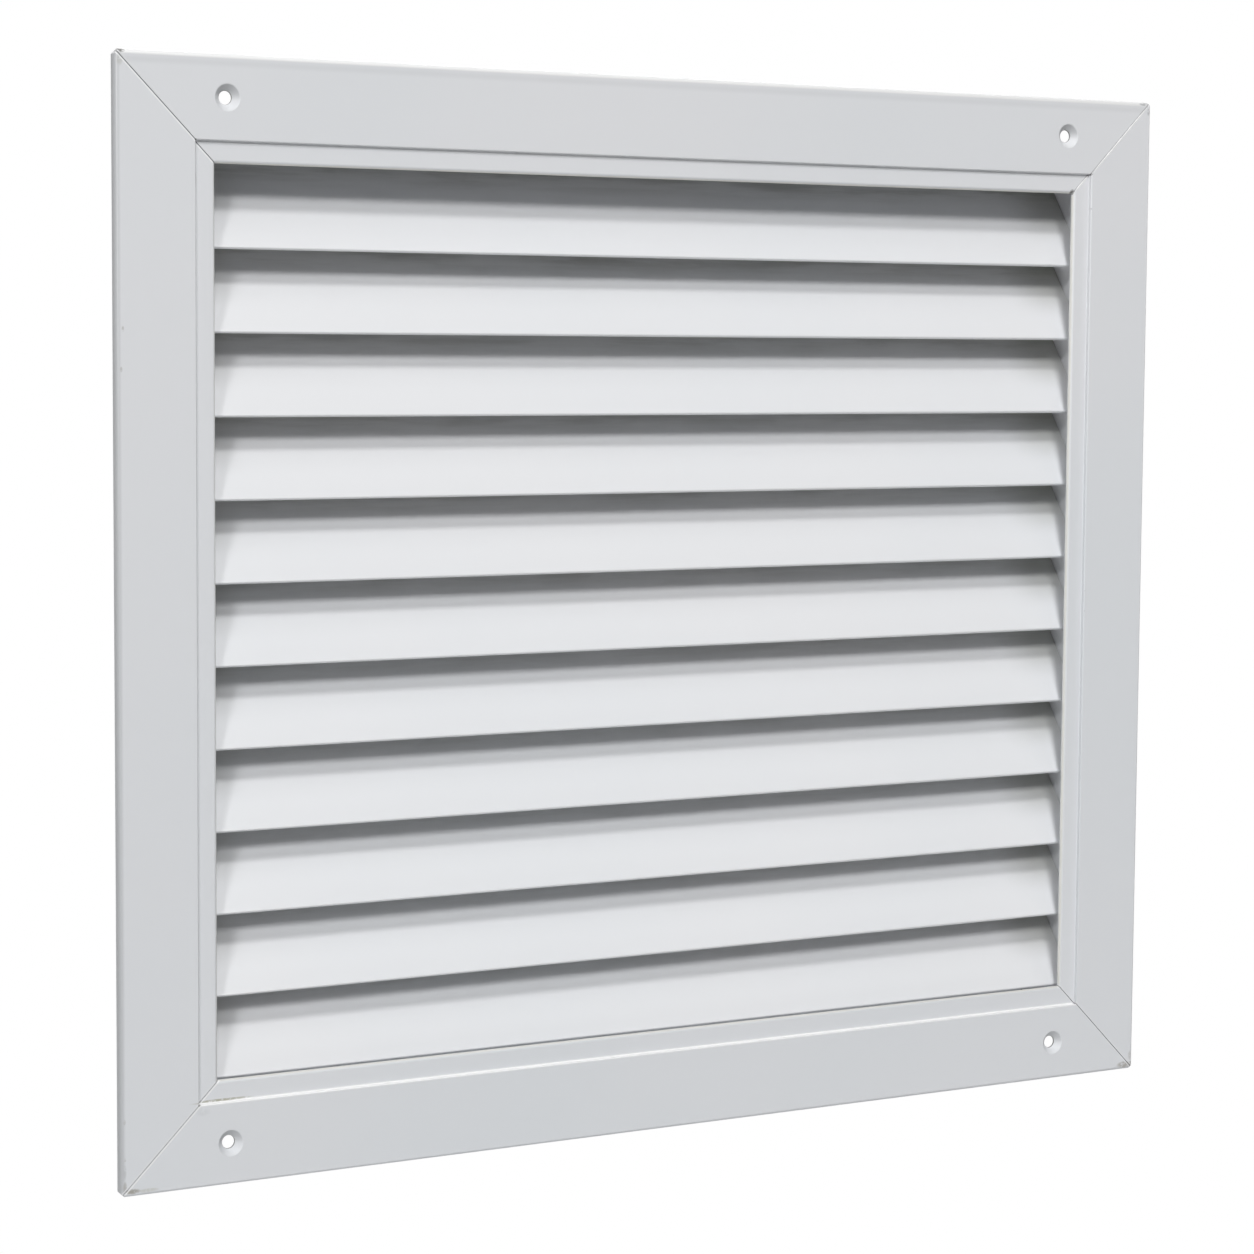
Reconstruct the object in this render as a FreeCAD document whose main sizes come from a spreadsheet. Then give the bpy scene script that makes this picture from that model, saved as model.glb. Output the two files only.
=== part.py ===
# Return air grille: a mitred frame of one extruded section, closed by fixed sloping blades.
#
# The part's own frame: X runs along the blades, Z is up and Y runs into the wall.
# The origin is the middle of the four fixing holes, on the wall face that the flange rests on.
# All lengths are in millimetres and all angles in degrees.

import FreeCAD, Part
import math
import os
import Sketcher
from FreeCAD import Placement, Rotation, Vector

# Driving sizes: name, value and what it measures.
# The inset of a thing is its distance inwards from the flange's outer edge,
# and its depth is its distance back from the flange's front face.
SIZES = [
    ("face_width", 450.0, "flange, side to side"),
    ("face_height", 400.0, "flange, top to bottom"),
    ("face_wall", 1.6, "wall of the flange and of the recessed band"),
    ("edge_radius", 1.5, "rounding of the flange's outer edge"),
    ("lip_depth", 3.0, "depth of the return lip round the flange"),
    ("lip_wall", 1.6, "wall of the return lip"),
    ("step_inset", 30.0, "inset of the step down to the band"),
    ("step_radius", 0.45, "rounding of the step"),
    ("band_recess", 1.6, "depth of the band below the flange"),
    ("throat_inset", 37.8, "inset of the band's inner edge"),
    ("throat_radius", 1.1, "rounding of the band's inner edge"),
    ("neck_inset", 25.0, "inset of the neck's outer face"),
    ("neck_wall", 1.5, "wall of the neck"),
    ("neck_depth", 40.0, "depth of the neck's back edge"),
    ("return_reach", 4.0, "how far the neck's back edge is turned in, to stiffen it"),
    ("hook_wall", 1.3, "wall of the hooks that hold the corner keys"),
    ("hook_reach", 1.8, "how far a hook reaches over its key"),
    ("key_width", 6.2, "width of a corner key's arms"),
    ("key_thickness", 3.0, "thickness of a corner key"),
    ("key_arm", 45.0, "length of a corner key's arms"),
    ("key_tip", 1.5, "chamfer at the tips of a key's arms"),
    ("key_play", 0.1, "clearance all round a key in its groove"),
    ("mitre_setback", 0.1, "how far each mitre stays behind the true diagonal"),
    ("corner_clip", 1.8, "what is filed off the outer tip of each corner"),
    ("hole_end", 42.0, "fixing hole, from the end of its rail"),
    ("hole_inset", 15.0, "fixing hole, from the flange's outer edge"),
    ("hole_radius", 2.4, "clearance radius of a fixing hole"),
    ("sink_radius", 4.8, "radius of its countersink at the front"),
    ("sink_depth", 2.4, "depth of the countersink"),
    ("sink_wall", 1.2, "metal behind the countersink's cone"),
    ("blade_slope", 55.0, "slope of the blades above the level"),
    ("blade_chord", 40.0, "width of a blade along its slope"),
    ("blade_wall", 1.5, "wall of a blade"),
    ("blade_pitch", 29.6, "blade to blade, before it is fitted to the throat"),
    ("blade_nose_radius", 0.5, "rounding of a blade's two long front edges"),
    ("blade_seat_play", 0.1, "clearance between a blade's nose and the hooks it seats on"),
    ("blade_end_play", 0.2, "clearance between a blade's end and the neck"),
    ("first_blade_drop", 28.75, "top blade's nose, below the throat's top edge"),
    ("last_blade_drop", 0.35, "lowest blade's nose, below the throat's bottom edge"),
    ("port_along", 22.0, "screw port, from the nose along the slope"),
    ("port_width", 3.0, "square inside of a screw port, across its flats"),
    ("port_wall", 1.0, "wall of a screw port"),
    ("port_slit", 1.4, "width of the slit along a port"),
    ("screw_play", 0.1, "clearance each side of a screw in its port"),
    ("screw_hole_play", 0.4, "radial clearance of a screw in the neck"),
    ("screw_length", 9.5, "screw, from under its head"),
    ("screw_head_flats", 5.5, "hexagon head, across its flats"),
    ("screw_head_height", 2.0, "height of a screw's head"),
]

# What the modelling itself needs, in millimetres.
LEAST_FLAT = 0.1  # the flat that a rounding leaves beside it on a thin wall
CUT_PAST = 5.0  # how far a cutting outline runs past the metal
SAME_PLACE = 0.01  # how close two points are to count as one

document = FreeCAD.newDocument("return_air_grille")
sheet = document.addObject("Spreadsheet::Sheet", "sizes")
nodes = []


# Lengths
# A length carries its number and the sheet formula that it comes from, so that a sketch
# starts in the right place and then follows the sheet.
class Length:
    def __init__(self, value, formula):
        self.value = value
        self.formula = formula

    def __add__(self, other):
        return combined(self, "+", other)

    def __radd__(self, other):
        return combined(other, "+", self)

    def __sub__(self, other):
        return combined(self, "-", other)

    def __rsub__(self, other):
        return combined(other, "-", self)

    def __mul__(self, other):
        return combined(self, "*", other)

    def __rmul__(self, other):
        return combined(other, "*", self)

    def __truediv__(self, other):
        return combined(self, "/", other)

    def __neg__(self):
        return combined(0, "-", self)


def as_length(item):
    if isinstance(item, Length):
        return item
    return Length(float(item), str(item))


def combined(left, sign, right):
    left = as_length(left)
    right = as_length(right)
    results = {
        "+": left.value + right.value,
        "-": left.value - right.value,
        "*": left.value * right.value,
    }
    value = results[sign] if sign in results else left.value / right.value
    return Length(value, f"({left.formula} {sign} {right.formula})")


def smaller(first, second):
    value = min(first.value, second.value)
    return Length(value, f"min({first.formula}; {second.formula})")


def sine(angle):
    return Length(math.sin(math.radians(angle.value)), f"sin({angle.formula})")


def cosine(angle):
    return Length(math.cos(math.radians(angle.value)), f"cos({angle.formula})")


def write_size(row, alias, value, note):
    sheet.set(f"A{row}", note)
    sheet.set(f"B{row}", str(value))
    sheet.setAlias(f"B{row}", alias)


for number, (alias, value, note) in enumerate(SIZES, start=1):
    write_size(number, alias, value, note)

named = {alias: Length(value, f"sizes.{alias}") for alias, value, note in SIZES}

# Depths in the frame's section
band_back = named["band_recess"] + named["face_wall"]
key_slot = named["key_thickness"] + 2 * named["key_play"]
hook_front = band_back + key_slot
hook_back = hook_front + named["hook_wall"]
nose_depth = hook_back + named["blade_seat_play"]

# Insets in the frame's section
neck_inside = named["neck_inset"] + named["neck_wall"]
return_edge = neck_inside + named["return_reach"]
hook_stem = neck_inside + named["key_width"] + 2 * named["key_play"]
shelf_start = named["step_inset"] - named["face_wall"]

# Heights of the throat
half_width = named["face_width"] / 2
half_height = named["face_height"] / 2
throat_top = half_height - named["throat_inset"]
throat_height = named["face_height"] - 2 * named["throat_inset"]

# Blade spacing: the lowest nose hangs just below the throat's bottom edge, which hides it,
# and the pitch is fitted to a whole number of blades.
blade_run = throat_height + named["last_blade_drop"] - named["first_blade_drop"]
spaces = max(1, round(blade_run.value / named["blade_pitch"].value))
write_size(len(SIZES) + 1, "blade_spaces", spaces, "spaces between the blades")
document.recompute()
blade_spacing = blade_run / Length(spaces, "sizes.blade_spaces")
blade_count = spaces + 1

# The screw port in a blade's section: below the front face, then behind and above the nose
screw_radius = named["port_width"] / 2 - named["screw_play"]
port_drop = named["blade_wall"] + named["port_width"] / 2
slope_sine = sine(named["blade_slope"])
slope_cosine = cosine(named["blade_slope"])
port_behind_nose = named["port_along"] * slope_cosine + port_drop * slope_sine
port_above_nose = named["port_along"] * slope_sine - port_drop * slope_cosine


# Sketch helpers
def bind(item, prop, length):
    length = as_length(length)
    item.setExpression(prop, length.formula)


def origin_plane(body, role):
    return next(plane for plane in body.Origin.OriginFeatures if plane.Role == role)


def new_body(label):
    body = document.addObject("PartDesign::Body", label)
    body.Label = label
    nodes.append(body)
    return body


def new_sketch(body, role, name, shift=(0, 0, 0)):
    """A sketch on one of the body's own planes, shifted along the plane's x, y and normal."""
    sketch = body.newObject("Sketcher::SketchObject", name)
    sketch.AttachmentSupport = (origin_plane(body, role), [""])
    sketch.MapMode = "FlatFace"
    for axis, distance in zip("xyz", shift):
        bind(sketch, f"AttachmentOffset.Base.{axis}", distance)
    return sketch


def pin_point(sketch, geometry, position, x, y):
    """Ties one point of a sketch to the sketch's origin."""
    for kind, distance in (("DistanceX", x), ("DistanceY", y)):
        distance = as_length(distance)
        rule = Sketcher.Constraint(kind, -1, 1, geometry, position, distance.value)
        index = sketch.addConstraint(rule)
        bind(sketch, f"Constraints[{index}]", distance)


def polygon(sketch, points):
    """A closed outline through points, each tied to the sizes."""
    points = [(as_length(x), as_length(y)) for x, y in points]
    places = [Vector(x.value, y.value, 0) for x, y in points]
    first = sketch.GeometryCount
    count = len(points)
    for index in range(count):
        sketch.addGeometry(Part.LineSegment(places[index], places[(index + 1) % count]), False)
    for index in range(count):
        following = first + (index + 1) % count
        sketch.addConstraint(Sketcher.Constraint("Coincident", first + index, 2, following, 1))
    for index, (x, y) in enumerate(points):
        pin_point(sketch, first + index, 1, x, y)


def circle(sketch, x, y, radius):
    """A circle tied to the sizes."""
    place = Vector(as_length(x).value, as_length(y).value, 0)
    geometry = sketch.addGeometry(Part.Circle(place, Vector(0, 0, 1), radius.value), False)
    pin_point(sketch, geometry, 3, x, y)
    index = sketch.addConstraint(Sketcher.Constraint("Radius", geometry, radius.value))
    bind(sketch, f"Constraints[{index}]", radius)


# Feature helpers
def finish_feature(body, feature):
    body.Tip = feature
    document.recompute()
    return feature


def extrude(body, kind, name, sketch, length, side="One side", backwards=False):
    feature = body.newObject(f"PartDesign::{kind}", name)
    feature.Profile = sketch
    feature.SideType = side
    feature.Reversed = backwards
    bind(feature, "Length", length)
    return finish_feature(body, feature)


def revolve(body, kind, name, sketch, axis="H_Axis"):
    feature = body.newObject(f"PartDesign::{kind}", name)
    feature.Profile = sketch
    feature.ReferenceAxis = (sketch, [axis])
    feature.Angle = 360
    return finish_feature(body, feature)


def round_long_edge(body, name, depth, inset, radius):
    """Rounds the edge that runs along X at a depth and an inset."""
    base = body.Tip
    found = []
    for number, edge in enumerate(base.Shape.Edges, start=1):
        ends = [vertex.Point for vertex in edge.Vertexes]
        on_line = [
            abs(end.y - depth.value) < SAME_PLACE and abs(end.z - inset.value) < SAME_PLACE
            for end in ends
        ]
        if len(ends) == 2 and all(on_line):
            found.append(f"Edge{number}")
    feature = body.newObject("PartDesign::Fillet", name)
    feature.Base = (base, found)
    bind(feature, "Radius", radius)
    return finish_feature(body, feature)


def mirror_ends(body, name, features):
    feature = body.newObject("PartDesign::Mirrored", name)
    feature.Originals = features
    feature.MirrorPlane = (origin_plane(body, "YZ_Plane"), [""])
    return finish_feature(body, feature)


def set_down(body, x, z, turn, depth=0):
    """Places a body by its corner or edge in the flange's outline, turned about Y."""
    body.Placement = Placement(Vector(0, 0, 0), Rotation(Vector(0, 1, 0), turn))
    bind(body, "Placement.Base.x", x)
    bind(body, "Placement.Base.y", depth - named["lip_depth"])
    bind(body, "Placement.Base.z", z)


# Frame members
# Each member lies along X with its outer edge on Z = 0 and its front face on Y = 0,
# and Z runs inwards. The section is the same for all four. Two hooks behind the band hold
# the corner keys, out of sight, and the neck's back edge is turned in.
def frame_section(body):
    sketch = new_sketch(body, "YZ_Plane", f"{body.Name}_section")
    zero = Length(0.0, "0")
    face_wall = named["face_wall"]
    hook_reach = named["hook_reach"]
    outer_lip = [
        (zero, zero),
        (named["lip_depth"], zero),
        (named["lip_depth"], named["lip_wall"]),
        (face_wall, named["lip_wall"]),
    ]
    return_front = named["neck_depth"] - named["neck_wall"]
    neck = [
        (face_wall, named["neck_inset"]),
        (named["neck_depth"], named["neck_inset"]),
        (named["neck_depth"], return_edge),
        (return_front, return_edge),
        (return_front, neck_inside),
    ]
    neck_hook = [
        (hook_back, neck_inside),
        (hook_back, neck_inside + hook_reach),
        (hook_front, neck_inside + hook_reach),
        (hook_front, neck_inside),
    ]
    step_underside = [
        (face_wall, neck_inside),
        (face_wall, shelf_start),
        (band_back, shelf_start),
    ]
    band_hook = [
        (band_back, hook_stem),
        (hook_front, hook_stem),
        (hook_front, hook_stem - hook_reach),
        (hook_back, hook_stem - hook_reach),
        (hook_back, hook_stem + named["hook_wall"]),
        (band_back, hook_stem + named["hook_wall"]),
    ]
    band = [
        (band_back, named["throat_inset"]),
        (named["band_recess"], named["throat_inset"]),
        (named["band_recess"], named["step_inset"]),
        (zero, named["step_inset"]),
    ]
    polygon(sketch, outer_lip + neck + neck_hook + step_underside + band_hook + band)
    return sketch


def frame_bar(label, length):
    """A straight length of the section with its visible edges rounded and its ends mitred."""
    body = new_body(label)
    zero = Length(0.0, "0")
    extrude(body, "Pad", f"{label}_bar", frame_section(body), length, side="Symmetric")
    edge_limit = smaller(named["lip_depth"], named["face_wall"]) - LEAST_FLAT
    step_limit = smaller(named["band_recess"], named["face_wall"]) - LEAST_FLAT
    throat_limit = named["face_wall"] - LEAST_FLAT
    rounded = [
        ("outer", zero, zero, smaller(named["edge_radius"], edge_limit)),
        ("step", zero, named["step_inset"], smaller(named["step_radius"], step_limit)),
        (
            "throat",
            named["band_recess"],
            named["throat_inset"],
            smaller(named["throat_radius"], throat_limit),
        ),
    ]
    for name, depth, inset, radius in rounded:
        round_long_edge(body, f"{label}_{name}_edge", depth, inset, radius)

    cutter = new_sketch(body, "XZ_Plane", f"{label}_mitre_line")
    tip = length / 2 - named["mitre_setback"]
    past = named["throat_inset"] + CUT_PAST
    clip = named["corner_clip"]
    polygon(
        cutter,
        [
            (tip - past, past),
            (tip - clip / 2, clip / 2),
            (tip - clip, zero),
            (tip - clip, zero - clip),
            (tip + past, zero - clip),
            (tip + past, past),
        ],
    )
    through = 2 * (named["neck_depth"] + CUT_PAST)
    mitre = extrude(body, "Pocket", f"{label}_mitre", cutter, through, side="Symmetric")
    mirror_ends(body, f"{label}_far_mitre", [mitre])
    return body


def add_fixing_hole(body, side, along):
    """A pressed countersink whose back rests on the wall, level with the return lip."""
    shift = (0, named["hole_inset"], along)
    cone_offset = named["sink_wall"] * math.sqrt(2)
    slope = (named["sink_radius"] - named["hole_radius"]) / named["sink_depth"]
    start = named["face_wall"] / 2
    at_wall = named["sink_radius"] - slope * named["face_wall"] + cone_offset
    at_seat = named["sink_radius"] - slope * named["lip_depth"] + cone_offset
    dimple = new_sketch(body, "YZ_Plane", f"{body.Name}_dimple_{side}_line", shift)
    polygon(
        dimple,
        [
            (start, 0),
            (start, at_wall),
            (named["face_wall"], at_wall),
            (named["lip_depth"], at_seat),
            (named["lip_depth"], 0),
        ],
    )
    revolve(body, "Revolution", f"{body.Name}_dimple_{side}", dimple)
    sink = new_sketch(body, "YZ_Plane", f"{body.Name}_hole_{side}_line", shift)
    beyond = named["lip_depth"] + CUT_PAST
    polygon(
        sink,
        [
            (0, 0),
            (0, named["sink_radius"]),
            (named["sink_depth"], named["hole_radius"]),
            (beyond, named["hole_radius"]),
            (beyond, 0),
        ],
    )
    revolve(body, "Groove", f"{body.Name}_hole_{side}", sink)


def rail(label, z, turn):
    """A top or bottom member, with a fixing hole near each end."""
    body = frame_bar(label, named["face_width"])
    along = half_width - named["hole_end"]
    add_fixing_hole(body, "a", along)
    add_fixing_hole(body, "b", -along)
    set_down(body, 0, z, turn)
    return body


def stile(label, x, turn, hand):
    """A side member, with a screw hole through its neck for each blade end."""
    body = frame_bar(label, named["face_height"])
    top_nose = throat_top - named["first_blade_drop"]
    holes = new_sketch(body, "XY_Plane", f"{label}_screw_holes_line", (0, 0, neck_inside))
    radius = screw_radius + named["screw_hole_play"]
    circle(holes, hand * (top_nose + port_above_nose), nose_depth + port_behind_nose, radius)
    first = extrude(body, "Pocket", f"{label}_screw_holes", holes, named["neck_wall"])
    pattern = body.newObject("PartDesign::LinearPattern", f"{label}_screw_rows")
    pattern.Originals = [first]
    pattern.Direction = (origin_plane(body, "X_Axis"), [""])
    pattern.Reversed = hand > 0
    pattern.Mode = "Spacing"
    bind(pattern, "Offset", blade_spacing)
    pattern.Occurrences = blade_count
    finish_feature(body, pattern)
    set_down(body, x, 0, turn)
    return body


# Corner keys
# A flat L-shaped plate slides into the grooves behind the band and holds the mitre.
# Its outer corner is measured from the flange's corner, with arms along X and Z.
def corner_key(label, x, z, turn):
    body = new_body(label)
    outside = neck_inside + named["key_play"]
    inside = outside + named["key_width"]
    reach = outside + named["key_arm"]
    tip = named["key_tip"]
    plate = new_sketch(body, "XZ_Plane", f"{label}_outline")
    polygon(
        plate,
        [
            (outside + tip, outside),
            (reach - tip, outside),
            (reach, outside + tip),
            (reach, inside - tip),
            (reach - tip, inside),
            (inside, inside),
            (inside, reach - tip),
            (inside - tip, reach),
            (outside + tip, reach),
            (outside, reach - tip),
            (outside, outside + tip),
        ],
    )
    extrude(body, "Pad", f"{label}_plate", plate, named["key_thickness"], backwards=True)
    set_down(body, x, z, turn, band_back + named["key_play"])
    return body


# Blades
# A blade's own frame has X along it, Y up its slope from the nose and Z square to its
# front face, which lies on Z = 0. A square screw port, split along its foot, runs along
# its hidden back. The nose seats on the stiles' hooks, and a screw in each end of the
# port holds it there at its slope.
def blade(number):
    label = f"blade_{number:02d}"
    body = new_body(label)
    zero = Length(0.0, "0")
    wall = named["blade_wall"]
    along = named["port_along"]
    half_bore = named["port_width"] / 2
    half_slit = named["port_slit"] / 2
    lips = wall + named["port_width"]
    foot = lips + named["port_wall"]
    outside = half_bore + named["port_wall"]
    web = [
        (0, -wall),
        (0, 0),
        (named["blade_chord"], 0),
        (named["blade_chord"], -wall),
    ]
    upper_port_wall = [
        (along + outside, -wall),
        (along + outside, -foot),
        (along + half_slit, -foot),
        (along + half_slit, -lips),
        (along + half_bore, -lips),
        (along + half_bore, -wall),
    ]
    lower_port_wall = [
        (along - half_bore, -wall),
        (along - half_bore, -lips),
        (along - half_slit, -lips),
        (along - half_slit, -foot),
        (along - outside, -foot),
        (along - outside, -wall),
    ]
    section = new_sketch(body, "YZ_Plane", f"{label}_section")
    polygon(section, web + upper_port_wall + lower_port_wall)
    length = named["face_width"] - 2 * (neck_inside + named["blade_end_play"])
    extrude(body, "Pad", f"{label}_bar", section, length, side="Symmetric")
    nose_limit = (wall - LEAST_FLAT) / 2
    nose_radius = smaller(named["blade_nose_radius"], nose_limit)
    round_long_edge(body, f"{label}_nose_top", zero, zero, nose_radius)
    round_long_edge(body, f"{label}_nose_underside", zero, -wall, nose_radius)

    drop = named["first_blade_drop"] + (number - 1) * blade_spacing
    body.Placement = Placement(Vector(0, 0, 0), Rotation(Vector(1, 0, 0), 1))
    bind(body, "Placement.Rotation.Angle", named["blade_slope"])
    bind(body, "Placement.Base.y", nose_depth - named["lip_depth"])
    bind(body, "Placement.Base.z", throat_top - drop)
    return body


# Blade screws
# One hexagon-headed screw lies along X with the underside of its head on X = 0.
def screw_master():
    body = document.addObject("PartDesign::Body", "blade_screw")
    body.Label = "blade_screw"
    head = new_sketch(body, "YZ_Plane", "blade_screw_hexagon")
    corner = named["screw_head_flats"] / math.sqrt(3)
    polygon(
        head,
        [
            (corner * math.cos(math.radians(angle)), corner * math.sin(math.radians(angle)))
            for angle in range(0, 360, 60)
        ],
    )
    height = named["screw_head_height"]
    extrude(body, "Pad", "blade_screw_head", head, height, backwards=True)
    shank = new_sketch(body, "YZ_Plane", "blade_screw_circle")
    circle(shank, 0, 0, screw_radius)
    extrude(body, "Pad", "blade_screw_shank", shank, named["screw_length"])
    return body


def screw_group(label, master, hand):
    """The screws of one side of the grille, one for each blade end, as one group."""
    along = hand * (half_width.value - named["neck_inset"].value)
    back = nose_depth.value + port_behind_nose.value - named["lip_depth"].value
    turn = Rotation(Vector(0, 0, 1), 180 if hand > 0 else 0)
    copies = []
    for number in range(blade_count):
        drop = named["first_blade_drop"].value + number * blade_spacing.value
        place = Vector(along, back, throat_top.value - drop + port_above_nose.value)
        copies.append(master.Shape.transformed(Placement(place, turn).toMatrix()))
    group = document.addObject("Part::Feature", label)
    group.Label = label
    group.Shape = Part.makeCompound(copies)
    nodes.append(group)
    return group


# Assembly
rail("frame_top_rail", half_height, 180)
rail("frame_bottom_rail", -half_height, 0)
stile("frame_left_stile", -half_width, 90, -1)
stile("frame_right_stile", half_width, -90, 1)

corner_key("corner_key_bottom_left", -half_width, -half_height, 0)
corner_key("corner_key_top_left", -half_width, half_height, 90)
corner_key("corner_key_top_right", half_width, half_height, 180)
corner_key("corner_key_bottom_right", half_width, -half_height, -90)

for blade_number in range(1, blade_count + 1):
    blade(blade_number)

one_screw = screw_master()
document.recompute()
screw_group("blade_screws_left", one_screw, -1)
screw_group("blade_screws_right", one_screw, 1)

# Checks before anything is written
document.recompute()
faults = [
    item.Name
    for item in document.Objects
    if "Invalid" in item.State or "Error" in item.State
]
faults += [node.Label for node in nodes if node.Shape.isNull() or not node.Shape.isValid()]
if faults:
    raise RuntimeError("features that failed: " + ", ".join(faults))

os.makedirs("parts", exist_ok=True)
for node in nodes:
    node.Shape.exportStep(os.path.join("parts", node.Label + ".step"))
    box = node.Shape.BoundBox
    print(
        f"{node.Label:26s} {len(node.Shape.Solids):3d} solids "
        f"{node.Shape.Volume:10.1f} mm3  "
        f"X {box.XMin:8.2f} {box.XMax:8.2f}  "
        f"Y {box.YMin:7.2f} {box.YMax:7.2f}  "
        f"Z {box.ZMin:8.2f} {box.ZMax:8.2f}"
    )
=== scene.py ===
# %% [markdown]
# # Return air grille
#
# A return air grille covers the hole in a wall where a ventilation system draws air back out of
# a room. This one is a mitred frame of one aluminium section, closed by fixed sloping blades,
# and coated all over in white powder.
#
# The solid model already holds every piece at its real size, so this lesson doesn't model the
# grille again. It gives the pieces their finish, adds the small things that a solid model leaves
# out, and sets up the camera and the light.

# %% Load the solid model
import math

import bmesh
import bpy
from mathutils import Matrix, Vector


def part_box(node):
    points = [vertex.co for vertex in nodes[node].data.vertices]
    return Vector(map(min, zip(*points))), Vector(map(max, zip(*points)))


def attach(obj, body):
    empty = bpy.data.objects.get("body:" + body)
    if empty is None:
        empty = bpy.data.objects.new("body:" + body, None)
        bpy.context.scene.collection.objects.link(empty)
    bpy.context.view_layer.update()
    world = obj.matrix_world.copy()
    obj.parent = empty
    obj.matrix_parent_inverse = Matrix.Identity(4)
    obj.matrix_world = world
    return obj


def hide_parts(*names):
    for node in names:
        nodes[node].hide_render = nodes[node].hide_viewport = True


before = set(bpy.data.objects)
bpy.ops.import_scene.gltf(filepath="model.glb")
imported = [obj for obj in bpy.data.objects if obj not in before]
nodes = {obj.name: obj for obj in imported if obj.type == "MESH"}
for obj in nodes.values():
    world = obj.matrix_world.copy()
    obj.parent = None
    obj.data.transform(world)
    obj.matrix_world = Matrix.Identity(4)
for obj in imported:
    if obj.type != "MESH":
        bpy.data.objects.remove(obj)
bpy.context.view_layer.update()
print("pieces from the solid model:", len(nodes))

# %% [markdown]
# ## Where things are
#
# Blender works in metres, and the model keeps its own frame: X runs along the blades, Z is up,
# and Y runs into the wall. The face's size, its front and the width of its section are read from
# the model's boxes, so that the finishes follow the frame if it is made in another size. What a
# box can't tell is written in millimetres.

# %% Measure the frame
MM = 0.001

low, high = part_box("frame_top_rail")
half_height = high.z
half_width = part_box("frame_right_stile")[1].x
front_y = low.y
throat_inset = high.z - low.z
step_inset = 30.0 * MM
neck_face_x = 200.0 * MM

frame_members = sorted(name for name in nodes if name.startswith("frame_"))
blades = sorted(name for name in nodes if name.startswith("blade_") and "screws" not in name)
corner_keys = sorted(name for name in nodes if name.startswith("corner_key_"))
print(f"face {2 * half_width / MM:.0f} x {2 * half_height / MM:.0f} mm, {len(blades)} blades")

# %% [markdown]
# ## The camera
#
# The grille is seen from its left, from a little above its middle, through a long lens. The
# place and the turn of the camera come from fitting the grille's straight edges and its four
# corners, so the picture keeps the same perspective. A camera looks along its own -Z, so a
# quarter turn about X first makes it level, and the small roll comes last.

# %% Set up the camera
CAMERA_PLACE = Vector((-0.6547, -1.0947, 0.1007))
CAMERA_HEADING = math.radians(-30.138)
CAMERA_DIP = math.radians(4.826)
CAMERA_ROLL = math.radians(0.396)
CAMERA_LENS = 96.50
SENSOR_WIDTH = 36.0


def make_camera():
    data = bpy.data.cameras.new("camera")
    data.lens = CAMERA_LENS
    data.sensor_width = SENSOR_WIDTH
    data.sensor_fit = "HORIZONTAL"
    data.clip_start = 0.01
    camera = bpy.data.objects.new("camera", data)
    bpy.context.scene.collection.objects.link(camera)
    camera.matrix_world = (
        Matrix.Translation(CAMERA_PLACE)
        @ Matrix.Rotation(CAMERA_HEADING, 4, "Z")
        @ Matrix.Rotation(math.pi / 2 - CAMERA_DIP, 4, "X")
        @ Matrix.Rotation(CAMERA_ROLL, 4, "Z")
    )
    bpy.context.scene.camera = camera
    return camera


camera = make_camera()
print(f"camera {camera.location.length:.2f} m from the grille, lens {CAMERA_LENS} mm")

# %% [markdown]
# ## Building a material from nodes
#
# Every finish below is made from a few noise and distance nodes. Placing them one by one takes
# many lines, so small helpers keep the recipes short. The first ones start a material, add a
# node, fill or link its inputs, and do arithmetic.


# %% Helpers that add nodes
def new_material(name):
    material = bpy.data.materials.new(name)
    material.use_nodes = True
    shader = material.node_tree.nodes["Principled BSDF"]
    return material, material.node_tree, shader


def add(tree, kind, settings=None, **inputs):
    """Adds a node. An input may be a number, a colour or another node's output."""
    node = tree.nodes.new(kind)
    for name, value in (settings or {}).items():
        setattr(node, name, value)
    for name, value in inputs.items():
        plug(tree, node.inputs[name.replace("_", " ")], value)
    return node


def plug(tree, socket, value):
    if isinstance(value, bpy.types.NodeSocket):
        tree.links.new(value, socket)
    else:
        socket.default_value = value


def calc(tree, operation, *values):
    node = add(tree, "ShaderNodeMath", {"operation": operation})
    for socket, value in zip(node.inputs, values):
        plug(tree, socket, value)
    return node.outputs["Value"]


def times(tree, first, *others):
    """Multiplies masks and strengths, so a mark shows only where all of its masks do."""
    product = first
    for other in others:
        product = calc(tree, "MULTIPLY", product, other)
    return product


print("node helpers ready")

# %% [markdown]
# The next ones are the maker's tools proper: a mask with a soft edge, a mix of two colours, and
# a noise, which gives any surface its small unevenness.


# %% Helpers for masks, mixes and noise
def soft_step(tree, value, start, end, first=0.0, last=1.0):
    """Goes smoothly from first to last while the value goes from start to end."""
    node = add(
        tree,
        "ShaderNodeMapRange",
        {"interpolation_type": "SMOOTHSTEP"},
        Value=value,
        From_Min=start,
        From_Max=end,
        To_Min=first,
        To_Max=last,
    )
    return node.outputs["Result"]


def blend_colour(tree, factor, first, second, kind="MIX"):
    node = add(tree, "ShaderNodeMix", {"data_type": "RGBA", "blend_type": kind})
    plug(tree, node.inputs["Factor"], factor)
    plug(tree, node.inputs["A"], first)
    plug(tree, node.inputs["B"], second)
    return node.outputs["Result"]


def noise(tree, place, scale, detail=2.0, roughness=0.5):
    node = add(
        tree,
        "ShaderNodeTexNoise",
        Vector=place,
        Scale=scale,
        Detail=detail,
        Roughness=roughness,
    )
    return node.outputs["Fac"]


def stretch(tree, place, scales):
    """Scales the coordinates by axis, which draws a noise out into streaks."""
    node = add(tree, "ShaderNodeMapping", {"vector_type": "POINT"}, Vector=place, Scale=scales)
    return node.outputs["Vector"]


print("mask, mix and noise helpers ready")

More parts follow.
